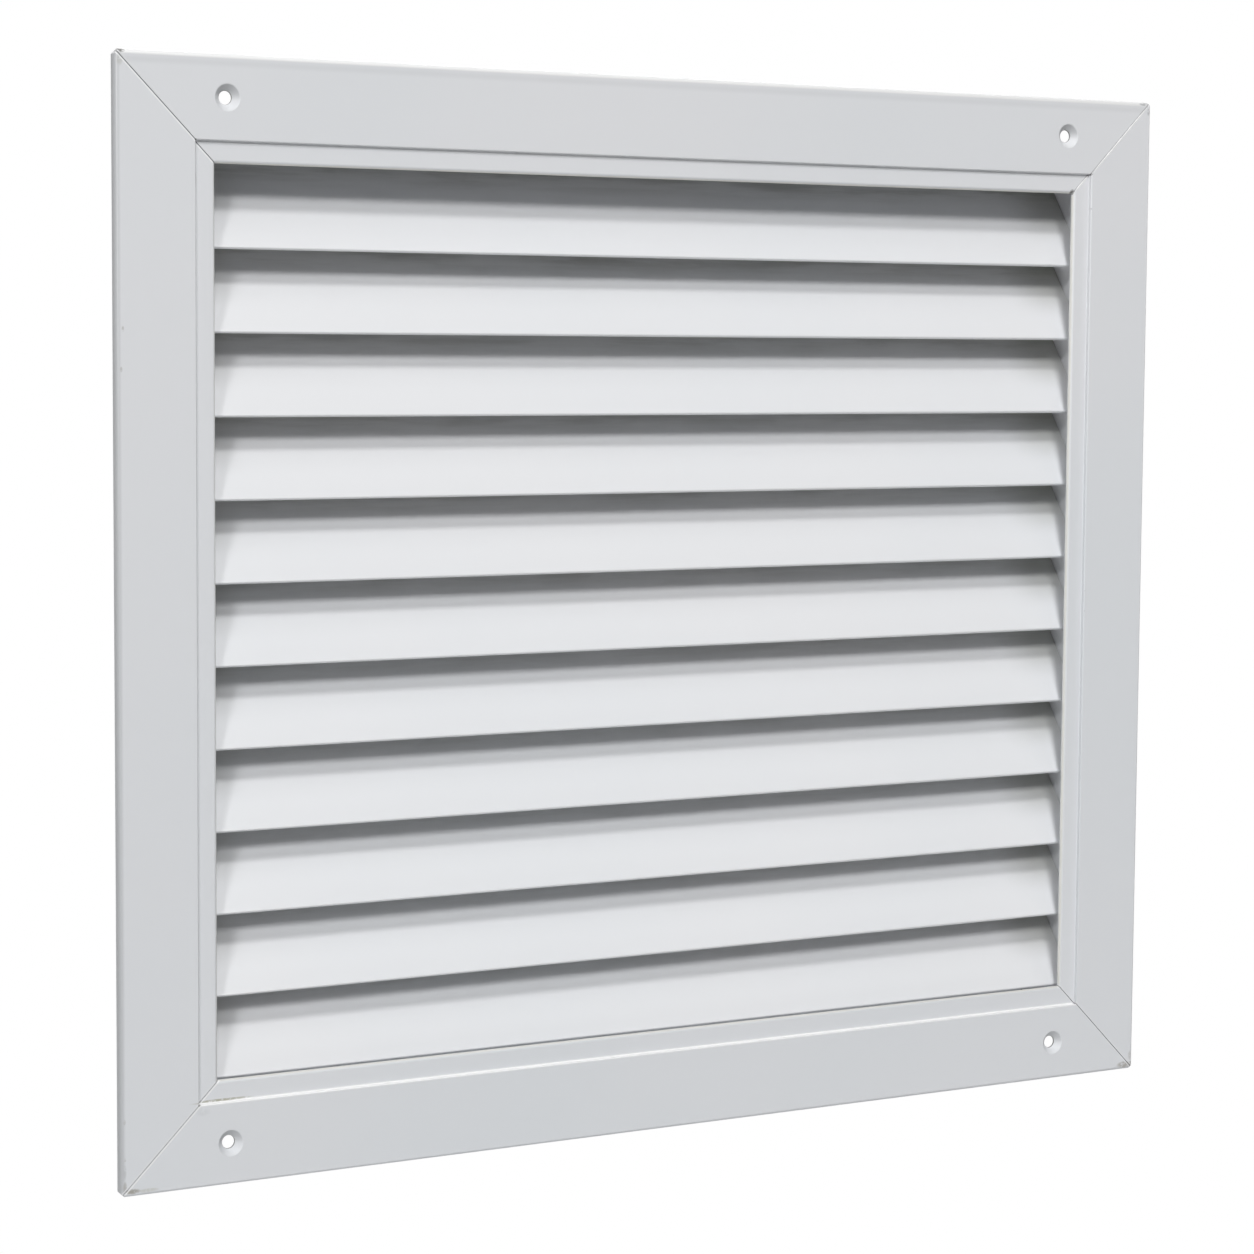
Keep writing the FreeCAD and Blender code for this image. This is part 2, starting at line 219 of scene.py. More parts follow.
# %% [markdown]
# ## Reading the frame's section inside a material
#
# Marks and worn edges follow the frame: they lie so far in from the flange's outer edge, or so
# far from a mitre. Both distances come from the coordinates. The inset is the smaller of the
# two distances to the outer edges, and a point is on a mitre where the two are the same. The
# distance off the mitre is positive on the rails and negative on the stiles. An image wrapped
# round the frame could do the same, but it would have to be painted anew for each size.


# %% Distances on the frame
def frame_distances(tree):
    place = add(tree, "ShaderNodeTexCoord").outputs["Object"]
    split = add(tree, "ShaderNodeSeparateXYZ", Vector=place)
    from_side = calc(tree, "SUBTRACT", half_width, calc(tree, "ABSOLUTE", split.outputs["X"]))
    from_end = calc(tree, "SUBTRACT", half_height, calc(tree, "ABSOLUTE", split.outputs["Z"]))
    difference = calc(tree, "SUBTRACT", from_side, from_end)
    return {
        "place": place,
        "x": split.outputs["X"],
        "y": split.outputs["Y"],
        "z": split.outputs["Z"],
        "inset": calc(tree, "MINIMUM", from_side, from_end),
        "from_side": from_side,
        "off_mitre": times(tree, difference, math.sqrt(0.5)),
    }


def close_to(tree, value, line, reach):
    """1 on a line, fading to 0 at a distance from it."""
    away = calc(tree, "ABSOLUTE", calc(tree, "SUBTRACT", value, line))
    return soft_step(tree, away, 0.0, reach, 1.0, 0.0)


def sum_of_squares(tree, across, up):
    return calc(tree, "ADD", times(tree, across, across), times(tree, up, up))


def near_point(tree, at, x, z, reach_x, reach_z):
    """1 at a point of the flange's face, fading to 0 over an oval round it."""
    across = calc(tree, "DIVIDE", calc(tree, "SUBTRACT", at["x"], x), reach_x)
    up = calc(tree, "DIVIDE", calc(tree, "SUBTRACT", at["z"], z), reach_z)
    return soft_step(tree, sum_of_squares(tree, across, up), 0.0, 1.0, 1.0, 0.0)


print("a point on the step has an inset of", step_inset / MM, "mm")

# %% [markdown]
# Some marks belong to one member of the frame only. The signs of X, Z and the distance off the
# mitre tell the members apart. Nothing on the front should reach into the throat or the neck, so
# one more mask ends just behind the band.

# %% Masks for the members
FRONT_FROM = 2.4 * MM
FRONT_TO = 3.4 * MM


def member_masks(tree, at):
    """1 on one member of the frame, and 0 on the three others."""
    upper_half = calc(tree, "GREATER_THAN", at["z"], 0.0)
    left_half = calc(tree, "LESS_THAN", at["x"], 0.0)
    on_rail = calc(tree, "GREATER_THAN", at["off_mitre"], 0.0)
    on_stile = calc(tree, "LESS_THAN", at["off_mitre"], 0.0)
    on_top_rail = times(tree, upper_half, on_rail)
    return {
        "top_rail": on_top_rail,
        "bottom_rail": calc(tree, "SUBTRACT", on_rail, on_top_rail),
        "left_stile": times(tree, left_half, on_stile),
    }


def front_mask(tree, at):
    """1 on the flange and the band, and 0 further back."""
    return soft_step(tree, at["y"], front_y + FRONT_FROM, front_y + FRONT_TO, 1.0, 0.0)


def by_corner(tree, at, colours):
    """Picks one of four colours by the corner that is nearest."""
    left = calc(tree, "LESS_THAN", at["x"], 0.0)
    upper = calc(tree, "GREATER_THAN", at["z"], 0.0)
    above = blend_colour(tree, left, colours["top_right"], colours["top_left"])
    below = blend_colour(tree, left, colours["bottom_right"], colours["bottom_left"])
    return blend_colour(tree, upper, below, above)


print("marks on the front end", FRONT_TO / MM, "mm behind the face")

# %% [markdown]
# ## White powder coat
#
# Powder is sprayed on dry and baked, so it flows into a satin skin that is never quite flat: its
# surface has a soft ripple a couple of millimetres across, called orange peel. Its gloss varies
# in patches, and its colour drifts by a percent or two along a member. All three are small, and
# a coat without them looks like plastic. The ripple is a bump and not a shape, because it is
# only a hundredth of a millimetre high.

# %% The coat that every white piece shares
COAT_WHITE = (0.780, 0.788, 0.808, 1.0)
COAT_COOL = (0.763, 0.780, 0.802, 1.0)
COAT_IOR = 1.5
COAT_GLOSSIEST = 0.42
COAT_DULLEST = 0.51
PATCH_SCALE = 30.0
DRIFT_SCALE = 7.0
PEEL_SCALE = 420.0
PEEL_HEIGHT = 0.012 * MM


def coat_surface(tree, shader, place):
    """The ripple and the satin gloss."""
    peel = noise(tree, place, PEEL_SCALE, 1.0, 0.4)
    bump = add(tree, "ShaderNodeBump", Strength=1.0, Distance=PEEL_HEIGHT, Height=peel)
    tree.links.new(bump.outputs["Normal"], shader.inputs["Normal"])
    patches = noise(tree, place, PATCH_SCALE, 3.0)
    rough = soft_step(tree, patches, 0.3, 0.7, COAT_GLOSSIEST, COAT_DULLEST)
    tree.links.new(rough, shader.inputs["Roughness"])
    shader.inputs["IOR"].default_value = COAT_IOR


def coat_colour(tree, place, white, cool):
    """A white that drifts towards a cooler one."""
    drift = soft_step(tree, noise(tree, place, DRIFT_SCALE, 2.0), 0.35, 0.7)
    return blend_colour(tree, drift, white, cool)


print("orange peel about", round(1 / PEEL_SCALE / MM, 1), "mm across")

# %% [markdown]
# ## The frame's edges: tone, tint, painted highlights and painted shade
#
# The frame isn't equally white all over. Its foot is a little darker than its top, and the
# powder lies thin and warm over the edge of the throat. The top rail's rounded outer edge and
# the bottom rail's step both face up to the light, so they get a painted highlight, and a faint
# band of painted shade lies beside the top edge. The left stile's step and its outer edge face
# away from the light, so they get painted shade. Each of these is one soft mask and one blend of
# colours.

# %% Values for the edges' tone, tint, painted highlights and painted shade
COAT_WARM = (0.82, 0.80, 0.73, 1.0)
# grey for rub marks, and also for painted shade on the edges and in the countersinks
GREY_RUB_AND_SHADE = (0.42, 0.43, 0.44, 1.0)
# a painted highlight, for edges that face up to the light
PAINTED_HIGHLIGHT = (0.93, 0.93, 0.93, 1.0)

# the coat is multiplied by this tone at the foot of the frame
FOOT_TONE = (0.925, 0.935, 0.940, 1.0)

THROAT_REACH = 0.8 * MM
THROAT_STRENGTH = 0.7
# a faint band of painted shade beside the top rail's outer edge
TOP_SHADE_INSET = 3.2 * MM
TOP_SHADE_REACH = 2.0 * MM
TOP_SHADE_STRENGTH = 0.14
# painted highlights along the top rail's outer edge and along the bottom rail's step
HIGHLIGHT_FROM = 1.9 * MM
HIGHLIGHT_TO = 1.1 * MM
FOOT_STEP_REACH = 0.9 * MM
# painted shade along the left stile's step and its outer edge, which face away from the light
LEFT_STEP_REACH = 0.4 * MM
LEFT_STEP_STRENGTH = 0.4
LEFT_EDGE_SHADE_FROM = 2.4 * MM
LEFT_EDGE_SHADE_TO = 0.4 * MM
LEFT_EDGE_SHADE_STRENGTH = 0.60
print("polished edge", HIGHLIGHT_TO / MM, "mm wide, fading out at", HIGHLIGHT_FROM / MM, "mm")


# %% Tone, tint, painted highlights and painted shade on the edges
def darken_foot(tree, at, colour):
    towards_foot = soft_step(tree, at["z"], half_height, -half_height)
    return blend_colour(tree, towards_foot, colour, FOOT_TONE, "MULTIPLY")


def warm_throat_edge(tree, at, front, colour):
    throat_edge = close_to(tree, at["inset"], throat_inset, THROAT_REACH)
    shown = times(tree, throat_edge, front, THROAT_STRENGTH)
    return blend_colour(tree, shown, colour, COAT_WARM)


def paint_rail_light_and_shade(tree, at, on, colour):
    """A band of painted shade and a painted highlight on the top rail, and a painted highlight
    on the bottom rail's step.
    """
    top_shade = close_to(tree, at["inset"], TOP_SHADE_INSET, TOP_SHADE_REACH)
    shown = times(tree, top_shade, on["top_rail"], TOP_SHADE_STRENGTH)
    colour = blend_colour(tree, shown, colour, GREY_RUB_AND_SHADE)
    highlighted = soft_step(tree, at["inset"], HIGHLIGHT_FROM, HIGHLIGHT_TO)
    colour = blend_colour(tree, times(tree, highlighted, on["top_rail"]), colour, PAINTED_HIGHLIGHT)
    foot_step = close_to(tree, at["inset"], step_inset, FOOT_STEP_REACH)
    return blend_colour(tree, times(tree, foot_step, on["bottom_rail"]), colour, PAINTED_HIGHLIGHT)


# Paints shade on the left stile's step and on its outer edge.
def shade_left_stile(tree, at, on, colour):
    left_step = close_to(tree, at["from_side"], step_inset, LEFT_STEP_REACH)
    shown = times(tree, left_step, on["left_stile"], LEFT_STEP_STRENGTH)
    colour = blend_colour(tree, shown, colour, GREY_RUB_AND_SHADE)
    left_edge_shade = soft_step(tree, at["from_side"], LEFT_EDGE_SHADE_FROM, LEFT_EDGE_SHADE_TO, 0.0, LEFT_EDGE_SHADE_STRENGTH)
    return blend_colour(tree, times(tree, left_edge_shade, on["left_stile"]), colour, GREY_RUB_AND_SHADE)


print("the left stile is grey for", LEFT_EDGE_SHADE_FROM / MM, "mm from its edge")

# %% [markdown]
# ## Painted shade in the fixing holes
#
# Each fixing hole has a countersink for a screw head. Its upper half faces down, away from the
# light, so it gets painted shade and is greyer than the lower half, and the bore behind it is
# painted nearly black as shade. The holes are the solid model's own, and only their colour is
# added here. The holes lie alike in all four corners, so one mask of mirrored coordinates serves
# them all.

# %% Paint shade into the fixing holes
# near black: painted shade in the bores, and the darkest dots among the marks
NEAR_BLACK = (0.10, 0.095, 0.085, 1.0)
HOLE_X = 183.0 * MM
HOLE_Z = 185.0 * MM
SINK_RADIUS = 4.9 * MM
SINK_RIM = 0.05 * MM
SINK_INSIDE = 0.35 * MM
SINK_LOWER = -1.2 * MM
SINK_UPPER = 2.2 * MM
SINK_SHADE = 0.50
BORE_DEPTH = 2.3 * MM
BORE_SHADE = 0.75


def add_hole_shade(tree, at, colour):
    """Paints shade: greys the upper half of each countersink, and darkens the bore behind it."""
    across = calc(tree, "SUBTRACT", calc(tree, "ABSOLUTE", at["x"]), HOLE_X)
    outwards = calc(tree, "SUBTRACT", calc(tree, "ABSOLUTE", at["z"]), HOLE_Z)
    rise = times(tree, outwards, calc(tree, "SIGN", at["z"]))
    inside = calc(tree, "LESS_THAN", sum_of_squares(tree, across, rise), SINK_RADIUS**2)
    below_face = soft_step(tree, at["y"], front_y + SINK_RIM, front_y + SINK_INSIDE)
    in_sink = times(tree, inside, below_face)
    upper = soft_step(tree, rise, SINK_LOWER, SINK_UPPER)
    colour = blend_colour(tree, times(tree, in_sink, upper, SINK_SHADE), colour, GREY_RUB_AND_SHADE)
    in_bore = calc(tree, "GREATER_THAN", at["y"], front_y + BORE_DEPTH)
    return blend_colour(tree, times(tree, in_sink, in_bore, BORE_SHADE), colour, NEAR_BLACK)


print("fixing holes", 2 * HOLE_X / MM, "x", 2 * HOLE_Z / MM, "mm apart")

# %% [markdown]
# ## Single marks
#
# The frame has been handled and fitted. Its outer corners are grubby where the mitres were
# filed, thin olive lines darken the inner corners along the left and the bottom step, and there
# are a few specks. Each mark is an oval at its place on the front, broken up by noise so that it
# has no clean outline.

# %% Marks on the frame
GRIME = (0.30, 0.28, 0.24, 1.0)
OLIVE_DIRT = (0.40, 0.39, 0.31, 1.0)
RAGGED_SCALE = 700.0
RAGGED_FROM = 0.30
RAGGED_TO = 0.52

# place across and up in millimetres, reach across and up, strength, colour
MARKS = [
    (-220.6, -198.1, 3.6, 1.2, 0.85, GRIME),
    (-214.6, -198.3, 5.0, 0.9, 0.40, OLIVE_DIRT),
    (-223.3, -196.4, 0.9, 2.6, 0.50, GRIME),
    (-223.4, -191.0, 0.8, 3.2, 0.40, GREY_RUB_AND_SHADE),
    (-223.3, -186.5, 0.6, 0.8, 0.40, GRIME),
    (-223.4, -173.1, 0.6, 1.2, 0.35, GRIME),
    (220.6, -198.0, 4.6, 1.7, 0.75, GRIME),
    (223.4, -194.4, 1.0, 2.6, 0.35, GRIME),
    (223.9, -198.4, 1.6, 1.8, 0.85, GRIME),
    (221.2, 199.2, 3.0, 0.8, 0.80, GREY_RUB_AND_SHADE),
    (223.6, 196.2, 0.9, 2.0, 0.70, GREY_RUB_AND_SHADE),
    (-223.0, 196.4, 1.5, 2.6, 0.35, OLIVE_DIRT),
    (195.3, 156.2, 0.4, 0.5, 0.60, GREY_RUB_AND_SHADE),
    (195.4, 1.1, 0.3, 0.3, 0.50, GREY_RUB_AND_SHADE),
    (195.4, -7.2, 0.3, 0.3, 0.50, GREY_RUB_AND_SHADE),
    (-222.3, 104.4, 0.6, 1.3, 0.45, GRIME),
    (-223.0, 90.5, 0.6, 1.2, 0.40, GRIME),
    (-194.0, -172.6, 3.6, 1.8, 0.16, GREY_RUB_AND_SHADE),
    (-194.7, 166.7, 0.4, 3.0, 0.75, OLIVE_DIRT),
    (-194.7, 156.3, 0.4, 4.5, 0.75, GRIME),
    (-186.0, -169.3, 14.0, 0.6, 0.95, OLIVE_DIRT),
    (-195.0, 170.0, 0.7, 0.7, 0.95, NEAR_BLACK),
    (195.0, 170.0, 0.7, 0.7, 0.95, NEAR_BLACK),
    (-195.0, -170.0, 0.8, 0.7, 0.95, NEAR_BLACK),
    (-222.9, 199.5, 2.4, 1.1, 0.95, NEAR_BLACK),
    (186.7, 162.6, 1.6, 1.6, 0.95, NEAR_BLACK),
]


def add_marks(tree, at, front, colour):
    broken = noise(tree, at["place"], RAGGED_SCALE, 4.0, 0.65)
    ragged = soft_step(tree, broken, RAGGED_FROM, RAGGED_TO)
    for x, z, reach_x, reach_z, strength, tint in MARKS:
        oval = near_point(tree, at, x * MM, z * MM, reach_x * MM, reach_z * MM)
        colour = blend_colour(tree, times(tree, oval, ragged, strength, front), colour, tint)
    return colour


print("marks on the frame:", len(MARKS))

# %% [markdown]
# ## The four mitres
#
# No two mitres look alike, because each was cut and pressed together by hand. The top left one
# stands open and dark, the top right one is filled and carries a painted highlight, and the
# lower two are grey hairlines. Beside three of them runs a second line, where one member lies a
# hair
# higher than its neighbour: a painted highlight where its edge would catch the light, and
# painted shade where it would lie in shade. The lines are a few tenths of a millimetre wide, so
# colour alone shows them.

# %% Colours of the four mitres
# the top right line is a painted highlight; the other three are dark joints
MITRE_GAP = {
    "top_left": (0.22, 0.22, 0.23, 1.0),
    "top_right": (0.90, 0.90, 0.91, 1.0),
    "bottom_left": (0.42, 0.42, 0.43, 1.0),
    "bottom_right": (0.36, 0.36, 0.37, 1.0),
}
# the lines beside the mitres: painted highlights and painted shade on the raised edges
MITRE_RAIL_SIDE = {
    "top_left": COAT_WHITE,
    "top_right": (0.46, 0.46, 0.47, 1.0),
    "bottom_left": (0.90, 0.90, 0.90, 1.0),
    "bottom_right": COAT_WHITE,
}
MITRE_STILE_SIDE = {
    "top_left": (0.96, 0.96, 0.96, 1.0),
    "top_right": COAT_WHITE,
    "bottom_left": COAT_WHITE,
    "bottom_right": COAT_WHITE,
}
SIDE_LINE = 0.52 * MM
SIDE_REACH = 0.34 * MM
GAP_CORE = 0.112 * MM
GAP_EDGE = 0.208 * MM
GAP_STRENGTH = 0.9


def draw_mitres(tree, at, colour):
    for line, tones in ((SIDE_LINE, MITRE_RAIL_SIDE), (-SIDE_LINE, MITRE_STILE_SIDE)):
        beside = close_to(tree, at["off_mitre"], line, SIDE_REACH)
        colour = blend_colour(tree, beside, colour, by_corner(tree, at, tones))
    off_gap = calc(tree, "ABSOLUTE", at["off_mitre"])
    gap = soft_step(tree, off_gap, GAP_CORE, GAP_EDGE, GAP_STRENGTH, 0.0)
    return blend_colour(tree, gap, colour, by_corner(tree, at, MITRE_GAP))


print("each mitre line is", round(2 * GAP_EDGE / MM, 2), "mm wide at most")

# %% [markdown]
# ## The frame's coat
#
# The layers now go on top of one another: the coat, its tone and tint, the painted highlights
# and shade on its edges and in its holes, and the single marks. The mitres come last, because
# their lines run through everything else.


# %% Make the frame's coat
def make_frame_coat():
    material, tree, shader = new_material("frame_coat")
    at = frame_distances(tree)
    on = member_masks(tree, at)
    front = front_mask(tree, at)
    coat_surface(tree, shader, at["place"])
    colour = coat_colour(tree, at["place"], COAT_WHITE, COAT_COOL)
    colour = darken_foot(tree, at, colour)
    colour = warm_throat_edge(tree, at, front, colour)
    colour = paint_rail_light_and_shade(tree, at, on, colour)
    colour = shade_left_stile(tree, at, on, colour)
    colour = add_hole_shade(tree, at, colour)
    colour = add_marks(tree, at, front, colour)
    colour = draw_mitres(tree, at, colour)
    tree.links.new(colour, shader.inputs["Base Color"])
    return material


frame_coat = make_frame_coat()
print("nodes in the frame's coat:", len(frame_coat.node_tree.nodes))

# %% [markdown]
# ## The blades' coat
#
# The blades have the same kind of coat, a shade lighter. A return air grille draws dust in with
# the air, and it settles on the sloping faces towards the back, out of reach of a duster. So the
# front of each blade is clean, and a veil of dust and painted shade thickens quickly further in,
# where the blade above shades it, in faint streaks along the blade. The corners where a blade
# meets the side of the frame get painted shade, so they are darker.

# %% Make the blades' coat
BLADE_WHITE = (0.822, 0.829, 0.845, 1.0)
BLADE_COOL = (0.806, 0.820, 0.840, 1.0)
# dust, and painted shade deep under the blade above
DUST_AND_SHADE = (0.24, 0.24, 0.215, 1.0)
DUST_AND_SHADE_STRENGTH = 0.90
VEIL_FROM = 18.5 * MM
VEIL_TO = 27.0 * MM
STREAK_STRETCH = (6.0, 60.0, 60.0)
STREAK_SCALE = 4.0
STREAK_LEAST = 0.6
# painted shade in the corners where a blade meets the side of the frame
END_SHADE = (0.24, 0.24, 0.19, 1.0)
END_STRENGTH = 0.50
END_FROM = 166.0 * MM
END_TO = 192.0 * MM
CORNER_FROM = 10.0 * MM
CORNER_TO = 20.0 * MM


def add_dust_and_shade(tree, place, depth, colour):
    streaks = noise(tree, stretch(tree, place, STREAK_STRETCH), STREAK_SCALE, 4.0, 0.6)
    uneven = soft_step(tree, streaks, 0.35, 0.7, STREAK_LEAST, 1.0)
    veil = soft_step(tree, depth, VEIL_FROM, VEIL_TO)
    return blend_colour(tree, times(tree, veil, uneven, DUST_AND_SHADE_STRENGTH), colour, DUST_AND_SHADE)


def add_end_shade(tree, across, depth, colour):
    near_end = soft_step(tree, calc(tree, "ABSOLUTE", across), END_FROM, END_TO)
    far_in = soft_step(tree, depth, CORNER_FROM, CORNER_TO)
    return blend_colour(tree, times(tree, near_end, far_in, END_STRENGTH), colour, END_SHADE)


def make_blade_coat():
    material, tree, shader = new_material("blade_coat")
    place = add(tree, "ShaderNodeTexCoord").outputs["Object"]
    split = add(tree, "ShaderNodeSeparateXYZ", Vector=place)
    coat_surface(tree, shader, place)
    colour = coat_colour(tree, place, BLADE_WHITE, BLADE_COOL)
    colour = add_dust_and_shade(tree, place, split.outputs["Y"], colour)
    colour = add_end_shade(tree, split.outputs["X"], split.outputs["Y"], colour)
    tree.links.new(colour, shader.inputs["Base Color"])
    return material


blade_coat = make_blade_coat()
print("dust covers up to", DUST_AND_SHADE_STRENGTH * 100, "percent")

# %% [markdown]
# ## Bare aluminium keys and zinc screws
#
# The corner keys are sawn from bare mill plate: a soft grey metal with rolling lines along it.
# The blade screws are zinc plated, which is brighter and slightly mottled. One recipe makes
# both, because they differ only in tone, gloss and in how far the noise is drawn out.

# %% Bare metal finishes
KEY_GREY = (0.66, 0.67, 0.69, 1.0)
KEY_DARK = (0.58, 0.59, 0.61, 1.0)
KEY_ROUGHNESS = 0.42
KEY_GRAIN = (120.0, 2000.0, 2000.0)
ZINC_PALE = (0.63, 0.64, 0.67, 1.0)
ZINC_DARK = (0.50, 0.52, 0.55, 1.0)
ZINC_ROUGHNESS = 0.30
ZINC_GRAIN = (900.0, 900.0, 900.0)
MOTTLE_SCALE = 500.0
GRAIN_HEIGHT = 0.01 * MM


def make_metal(name, colour, darker, roughness, grain):
    material, tree, shader = new_material(name)
    place = add(tree, "ShaderNodeTexCoord").outputs["Object"]
    lines = noise(tree, stretch(tree, place, grain), 1.0, 5.0, 0.7)
    mottle = noise(tree, place, MOTTLE_SCALE, 2.0)
    tone = blend_colour(tree, soft_step(tree, mottle, 0.35, 0.65), colour, darker)
    tree.links.new(tone, shader.inputs["Base Color"])
    shader.inputs["Metallic"].default_value = 1.0
    rough = soft_step(tree, lines, 0.3, 0.7, roughness - 0.07, roughness + 0.1)
    tree.links.new(rough, shader.inputs["Roughness"])
    bump = add(tree, "ShaderNodeBump", Strength=0.6, Distance=GRAIN_HEIGHT, Height=lines)
    tree.links.new(bump.outputs["Normal"], shader.inputs["Normal"])
    return material


key_metal = make_metal("key_metal", KEY_GREY, KEY_DARK, KEY_ROUGHNESS, KEY_GRAIN)
screw_steel = make_metal("screw_steel", ZINC_PALE, ZINC_DARK, ZINC_ROUGHNESS, ZINC_GRAIN)
print("bare metals:", key_metal.name, "and", screw_steel.name)

# %% [markdown]
# ## Dressing the solid model
#
# A solid model has perfectly sharp edges, and real ones never are: a sawn or pressed edge is
# broken by a tenth of a millimetre or two, and catches a thin line of light. Three modifiers
# do this without touching the model: Weld joins the faces, Decimate clears the triangles out of
# the flat faces, and Bevel rounds only the edges that are sharper than a set angle.

# %% Finish and soften the edges
WELD_REACH = 0.0005 * MM
FLAT_ANGLE = math.radians(0.5)
EDGE_ANGLE = math.radians(40)
FRAME_EDGE = 0.18 * MM
BLADE_EDGE = 0.12 * MM
KEY_EDGE = 0.15 * MM


def soften_edges(piece, width):
    weld = piece.modifiers.new("weld", "WELD")
    weld.merge_threshold = WELD_REACH
    flat = piece.modifiers.new("flat_faces", "DECIMATE")
    flat.decimate_type = "DISSOLVE"
    flat.angle_limit = FLAT_ANGLE
    bevel = piece.modifiers.new("broken_edges", "BEVEL")
    bevel.limit_method = "ANGLE"
    bevel.angle_limit = EDGE_ANGLE
    bevel.width = width
    bevel.segments = 2


def dress(names, material, width):
    for name in names:
        piece = nodes[name]
        piece.data.materials.clear()
        piece.data.materials.append(material)
        soften_edges(piece, width)


dress(frame_members, frame_coat, FRAME_EDGE)
dress(blades, blade_coat, BLADE_EDGE)
dress(corner_keys, key_metal, KEY_EDGE)
print("dressed", len(frame_members) + len(blades) + len(corner_keys), "pieces")

# %% [markdown]
# ## The blade screws
#
# The solid model holds each screw as a plain hexagon on a smooth pin. Here the head gets the
# chamfer that pressing leaves: a shallow cone that takes the hexagon's corners off. The head is
# drawn as rings of points, so that a ring near the edge can follow the cone.

# %% The screw's head
SCREW_FLATS = 5.5 * MM
SCREW_HEAD = 2.0 * MM
HEAD_STEPS = 48
HEAD_RINGS = (0.7, 0.86, 1.0)
CHAMFER_START = 0.88
CHAMFER_ANGLE = math.radians(30)


def ring_of_faces(mesh, lower, upper):
    count = len(lower)
    for index in range(count):
        following = (index + 1) % count
        mesh.faces.new((lower[index], lower[following], upper[following], upper[index]))


def edge_of_hexagon(angle):
    """How far the hexagon's edge is from its middle, in the direction of an angle."""
    from_flat = (angle + math.pi / 6) % (math.pi / 3) - math.pi / 6
    return SCREW_FLATS / 2 / math.cos(from_flat)


def chamfered_height(radius):
    beyond = max(0.0, radius - CHAMFER_START * SCREW_FLATS / 2)
    return SCREW_HEAD - beyond * math.tan(CHAMFER_ANGLE)


def head_ring(mesh, turn, share, height_at):
    """One ring of the head, at a share of the way from its middle to its edge."""
    ring = []
    for step in range(HEAD_STEPS):
        angle = 2 * math.pi * step / HEAD_STEPS
        radius = edge_of_hexagon(angle) * share
        across = radius * math.cos(angle)
        up = radius * math.sin(angle)
        ring.append(mesh.verts.new(turn @ Vector((-height_at(radius), across, up))))
    return ring


def add_head(mesh, turn):
    """A hexagon whose corners are chamfered by a shallow cone."""
    rings = [head_ring(mesh, turn, share, chamfered_height) for share in HEAD_RINGS]
    foot = head_ring(mesh, turn, 1.0, lambda radius: 0.0)
    mesh.faces.new(rings[0])
    for lower, upper in zip(rings, rings[1:] + [foot]):
        ring_of_faces(mesh, upper, lower)
    mesh.faces.new(list(reversed(foot)))


print("head", SCREW_FLATS / MM, "mm across its flats")

# %% [markdown]
# The pin gets its rolled thread. A thread is a cylinder whose radius follows a triangle wave,
# and the wave climbs one pitch in each turn. Towards its end the whole section shrinks, which
# makes the blunt point that finds its way into the blade's port.

# %% The screw's thread
SCREW_RADIUS = 1.4 * MM
SCREW_ROOT = 1.08 * MM
SCREW_LENGTH = 9.5 * MM
SCREW_PITCH = 1.0 * MM
SCREW_POINT = 2.0 * MM
POINT_SHARE = 0.45
RIDGE_SHARPNESS = 3.2
TURN_STEPS = 24
PITCH_STEPS = 8


def thread_radius(along, turned):
    """The thread's radius at a length along the screw and a share of a turn."""
    wave = (along / SCREW_PITCH - turned) % 1.0
    ridge = max(0.0, 1.0 - abs(wave - 0.5) * RIDGE_SHARPNESS)
    taper = min(1.0, (SCREW_LENGTH - along) / SCREW_POINT)
    radius = SCREW_ROOT + (SCREW_RADIUS - SCREW_ROOT) * ridge
    return radius * (POINT_SHARE + (1.0 - POINT_SHARE) * taper)


def add_thread(mesh, turn):
    """A rolled thread that runs out into a blunt point."""
    rings = []
    count = int(SCREW_LENGTH / SCREW_PITCH * PITCH_STEPS)
    for level in range(count + 1):
        along = SCREW_LENGTH * level / count
        ring = []
        for step in range(TURN_STEPS):
            turned = step / TURN_STEPS
            radius = thread_radius(along, turned)
            angle = 2 * math.pi * turned
            place = Vector((along, radius * math.cos(angle), radius * math.sin(angle)))
            ring.append(mesh.verts.new(turn @ place))
        rings.append(ring)
    mesh.faces.new(list(reversed(rings[0])))
    for lower, upper in zip(rings, rings[1:]):
        ring_of_faces(mesh, lower, upper)
    mesh.faces.new(rings[-1])


print("thread turns:", SCREW_LENGTH / SCREW_PITCH)

# %% [markdown]
# The screws go where the solid ones are, one to each end of a blade. The box round a side's
# screws gives the highest and the lowest of them, and the others are spread evenly between.
# Each new screw is turned a little differently, because nobody lines screws up.

# %% Place the screws
SPIN_STEP = math.radians(37.0)
SPIN_SIDE = math.radians(11.0)


def screw_places(name):
    """The axis of each solid screw, as a height and a depth."""
    lowest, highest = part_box(name)
    count = len(blades)
    spacing = (highest.z - lowest.z - SCREW_FLATS) / (count - 1)
    depth = (lowest.y + highest.y) / 2
    top = highest.z - SCREW_FLATS / 2
    return [(top - spacing * index, depth) for index in range(count)]


def make_screws(name, hand):
    """A side's screws. The hand is -1 on the left and 1 on the right."""
    mesh = bmesh.new()
    side = Matrix.Rotation(math.pi if hand > 0 else 0.0, 4, "Z")
    for index, (height, depth) in enumerate(screw_places(name)):
        spin = Matrix.Rotation(SPIN_STEP * index + SPIN_SIDE * hand, 4, "X")
        place = Matrix.Translation(Vector((hand * neck_face_x, depth, height)))
        add_head(mesh, place @ side @ spin)
        add_thread(mesh, place @ side @ spin)
    data = bpy.data.meshes.new(name + "_threaded")
    bmesh.ops.recalc_face_normals(mesh, faces=mesh.faces)
    mesh.to_mesh(data)
    mesh.free()
    piece = bpy.data.objects.new(name + "_threaded", data)
    bpy.context.scene.collection.objects.link(piece)
    data.materials.append(screw_steel)
    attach(piece, "root")
    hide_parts(name)
    return piece


